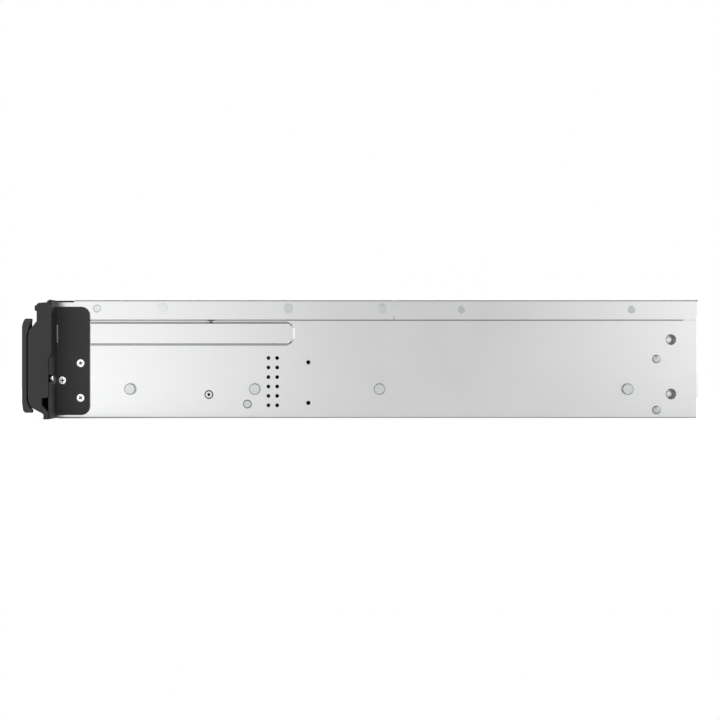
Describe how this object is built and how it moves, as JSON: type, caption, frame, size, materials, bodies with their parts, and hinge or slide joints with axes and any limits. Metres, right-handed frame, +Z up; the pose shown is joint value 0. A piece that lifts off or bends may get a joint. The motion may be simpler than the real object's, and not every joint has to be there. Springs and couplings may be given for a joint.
{
  "type": "rackmount nas server",
  "caption": "2U rackmount storage server with sliding drive trays and levers, plug-in power supplies, fan wall, split top cover, and black rack ears with grips",
  "frame": {"origin": "centre of the bounding box's underside, on the surface the server stands on", "axes": "+X to the right ear, +Y to the rear, +Z up; the drive trays face -Y"},
  "size_m": [0.4826, 0.507, 0.088],
  "materials": {
    "zinc_sheet": "bright zinc-plated folded sheet steel, fine grain",
    "zinc_hardware": "zinc-plated steel fastener",
    "black_coated_steel": "fine matt black powder coat",
    "black_moulding": "fine-textured black moulding",
    "lever_plastic": "satin black moulding",
    "fan_plastic": "glass-filled black moulding",
    "circuit_board": "green solder resist",
    "connector_plastic": "black connector moulding",
    "port_shell": "tinned port shell",
    "heatsink_metal": "extruded aluminium fins",
    "handle_plastic": "black moulded bail",
    "latch_plastic": "green moulded latch",
    "button_plastic": "satin black button",
    "lens_plastic": "clear light pipe",
    "cable_jacket": "flat cable jacket"
  },
  "bodies": {
    "chassis": {"chassis_base": "zinc_sheet", "front_top_cover": "zinc_sheet", "rear_panel": "zinc_sheet", "drive_cage": "zinc_sheet", "fan_wall": "zinc_sheet", "psu_cage": "zinc_sheet", "slot_covers": "zinc_sheet", "wall_rivets": "zinc_hardware", "rail_studs": "zinc_hardware", "flat_head_screws": "zinc_hardware", "board_standoffs": "zinc_hardware", "right_ear_bracket": "black_coated_steel", "left_ear_bracket": "black_coated_steel", "front_frame": "black_moulding", "right_ear_housing": "black_moulding", "left_ear_housing": "black_moulding", "right_grip": "black_moulding", "left_grip": "black_moulding", "fan_frames": "fan_plastic", "mainboard": "circuit_board", "memory_modules": "circuit_board", "backplane_board": "circuit_board", "backplane_connectors": "connector_plastic", "rear_ports": "port_shell", "cpu_heatsink": "heatsink_metal", "indicator_lenses": "lens_plastic", "front_panel_cable": "cable_jacket"},
    "rear_cover": {"rear_top_cover": "zinc_sheet", "cover_hook_rivets": "zinc_hardware"},
    "cover_screws": {"cover_thumbscrews": "zinc_hardware"},
    "power_key": {"power_button": "button_plastic"},
    "right_screw": {"right_rack_screw": "zinc_hardware"},
    "left_screw": {"left_rack_screw": "zinc_hardware"},
    "fan_1": {"fan_rotor_1": "fan_plastic"},
    "fan_2": {"fan_rotor_2": "fan_plastic"},
    "fan_3": {"fan_rotor_3": "fan_plastic"},
    "tray_1_slide_body": {"tray_1": "black_moulding"},
    "tray_1_lever_body": {"tray_lever_1": "lever_plastic"},
    "tray_2_slide_body": {"tray_2": "black_moulding"},
    "tray_2_lever_body": {"tray_lever_2": "lever_plastic"},
    "tray_3_slide_body": {"tray_3": "black_moulding"},
    "tray_3_lever_body": {"tray_lever_3": "lever_plastic"},
    "tray_4_slide_body": {"tray_4": "black_moulding"},
    "tray_4_lever_body": {"tray_lever_4": "lever_plastic"},
    "tray_5_slide_body": {"tray_5": "black_moulding"},
    "tray_5_lever_body": {"tray_lever_5": "lever_plastic"},
    "tray_6_slide_body": {"tray_6": "black_moulding"},
    "tray_6_lever_body": {"tray_lever_6": "lever_plastic"},
    "tray_7_slide_body": {"tray_7": "black_moulding"},
    "tray_7_lever_body": {"tray_lever_7": "lever_plastic"},
    "tray_8_slide_body": {"tray_8": "black_moulding"},
    "tray_8_lever_body": {"tray_lever_8": "lever_plastic"},
    "psu_1": {"psu_1_housing": "zinc_sheet"},
    "psu_1_handle_body": {"psu_1_handle": "handle_plastic"},
    "psu_1_latch_body": {"psu_1_latch": "latch_plastic"},
    "psu_1_fan": {"psu_1_fan_rotor": "fan_plastic"},
    "psu_2": {"psu_2_housing": "zinc_sheet"},
    "psu_2_handle_body": {"psu_2_handle": "handle_plastic"},
    "psu_2_latch_body": {"psu_2_latch": "latch_plastic"},
    "psu_2_fan": {"psu_2_fan_rotor": "fan_plastic"}
  },
  "joints": [
    {"name": "rear_cover_slide", "type": "slide", "parent": "chassis", "child": "rear_cover", "axis": [0, 1, 0], "range_m": [0, 0.235]},
    {"name": "cover_screw_release", "type": "slide", "parent": "rear_cover", "child": "cover_screws", "axis": [0, 1, 0], "range_m": [0, 0.004]},
    {"name": "power_button_press", "type": "slide", "parent": "chassis", "child": "power_key", "axis": [0, 1, 0], "range_m": [0, 0.0012], "stiffness_N_per_m": 700},
    {"name": "right_rack_screw_advance", "type": "slide", "parent": "chassis", "child": "right_screw", "axis": [0, 1, 0], "range_m": [0, 0.0064]},
    {"name": "left_rack_screw_advance", "type": "slide", "parent": "chassis", "child": "left_screw", "axis": [0, 1, 0], "range_m": [0, 0.0064]},
    {"name": "fan_1_spin", "type": "hinge", "parent": "chassis", "child": "fan_1", "pos_m": [-0.086, -0.02205, 0.0436], "axis": [0, 1, 0], "continuous": true},
    {"name": "fan_2_spin", "type": "hinge", "parent": "chassis", "child": "fan_2", "pos_m": [0, -0.02205, 0.0436], "axis": [0, 1, 0], "continuous": true},
    {"name": "fan_3_spin", "type": "hinge", "parent": "chassis", "child": "fan_3", "pos_m": [0.086, -0.02205, 0.0436], "axis": [0, 1, 0], "continuous": true},
    {"name": "tray_1_slide", "type": "slide", "parent": "chassis", "child": "tray_1_slide_body", "axis": [0, -1, 0], "range_m": [0, 0.175]},
    {"name": "tray_1_lever", "type": "hinge", "parent": "tray_1_slide_body", "child": "tray_1_lever_body", "pos_m": [-0.206, -0.23765, 0.0442], "axis": [0, 0, -1], "range_deg": [0, 75]},
    {"name": "tray_2_slide", "type": "slide", "parent": "chassis", "child": "tray_2_slide_body", "axis": [0, -1, 0], "range_m": [0, 0.175]},
    {"name": "tray_2_lever", "type": "hinge", "parent": "tray_2_slide_body", "child": "tray_2_lever_body", "pos_m": [-0.1, -0.23765, 0.0442], "axis": [0, 0, -1], "range_deg": [0, 75]},
    {"name": "tray_3_slide", "type": "slide", "parent": "chassis", "child": "tray_3_slide_body", "axis": [0, -1, 0], "range_m": [0, 0.175]},
    {"name": "tray_3_lever", "type": "hinge", "parent": "tray_3_slide_body", "child": "tray_3_lever_body", "pos_m": [0.006, -0.23765, 0.0442], "axis": [0, 0, -1], "range_deg": [0, 75]},
    {"name": "tray_4_slide", "type": "slide", "parent": "chassis", "child": "tray_4_slide_body", "axis": [0, -1, 0], "range_m": [0, 0.175]},
    {"name": "tray_4_lever", "type": "hinge", "parent": "tray_4_slide_body", "child": "tray_4_lever_body", "pos_m": [0.112, -0.23765, 0.0442], "axis": [0, 0, -1], "range_deg": [0, 75]},
    {"name": "tray_5_slide", "type": "slide", "parent": "chassis", "child": "tray_5_slide_body", "axis": [0, -1, 0], "range_m": [0, 0.175]},
    {"name": "tray_5_lever", "type": "hinge", "parent": "tray_5_slide_body", "child": "tray_5_lever_body", "pos_m": [-0.206, -0.23765, 0.0152], "axis": [0, 0, -1], "range_deg": [0, 75]},
    {"name": "tray_6_slide", "type": "slide", "parent": "chassis", "child": "tray_6_slide_body", "axis": [0, -1, 0], "range_m": [0, 0.175]},
    {"name": "tray_6_lever", "type": "hinge", "parent": "tray_6_slide_body", "child": "tray_6_lever_body", "pos_m": [-0.1, -0.23765, 0.0152], "axis": [0, 0, -1], "range_deg": [0, 75]},
    {"name": "tray_7_slide", "type": "slide", "parent": "chassis", "child": "tray_7_slide_body", "axis": [0, -1, 0], "range_m": [0, 0.175]},
    {"name": "tray_7_lever", "type": "hinge", "parent": "tray_7_slide_body", "child": "tray_7_lever_body", "pos_m": [0.006, -0.23765, 0.0152], "axis": [0, 0, -1], "range_deg": [0, 75]},
    {"name": "tray_8_slide", "type": "slide", "parent": "chassis", "child": "tray_8_slide_body", "axis": [0, -1, 0], "range_m": [0, 0.175]},
    {"name": "tray_8_lever", "type": "hinge", "parent": "tray_8_slide_body", "child": "tray_8_lever_body", "pos_m": [0.112, -0.23765, 0.0152], "axis": [0, 0, -1], "range_deg": [0, 75]},
    {"name": "psu_1_slide", "type": "slide", "parent": "chassis", "child": "psu_1", "axis": [0, 1, 0], "range_m": [0, 0.19]},
    {"name": "psu_1_handle_fold", "type": "hinge", "parent": "psu_1", "child": "psu_1_handle_body", "pos_m": [-0.1567, 0.24515, 0.0123], "axis": [-1, 0, 0], "range_deg": [0, 90]},
    {"name": "psu_1_latch_press", "type": "slide", "parent": "psu_1", "child": "psu_1_latch_body", "axis": [-1, 0, 0], "range_m": [0, 0.002], "stiffness_N_per_m": 800},
    {"name": "psu_1_fan_spin", "type": "hinge", "parent": "psu_1", "child": "psu_1_fan", "pos_m": [-0.1432, 0.22995, 0.0225], "axis": [0, 1, 0], "continuous": true},
    {"name": "psu_2_slide", "type": "slide", "parent": "chassis", "child": "psu_2", "axis": [0, 1, 0], "range_m": [0, 0.19]},
    {"name": "psu_2_handle_fold", "type": "hinge", "parent": "psu_2", "child": "psu_2_handle_body", "pos_m": [-0.1567, 0.24515, 0.0545], "axis": [-1, 0, 0], "range_deg": [0, 90]},
    {"name": "psu_2_latch_press", "type": "slide", "parent": "psu_2", "child": "psu_2_latch_body", "axis": [-1, 0, 0], "range_m": [0, 0.002], "stiffness_N_per_m": 800},
    {"name": "psu_2_fan_spin", "type": "hinge", "parent": "psu_2", "child": "psu_2_fan", "pos_m": [-0.1432, 0.22995, 0.0647], "axis": [0, 1, 0], "continuous": true}
  ]
}
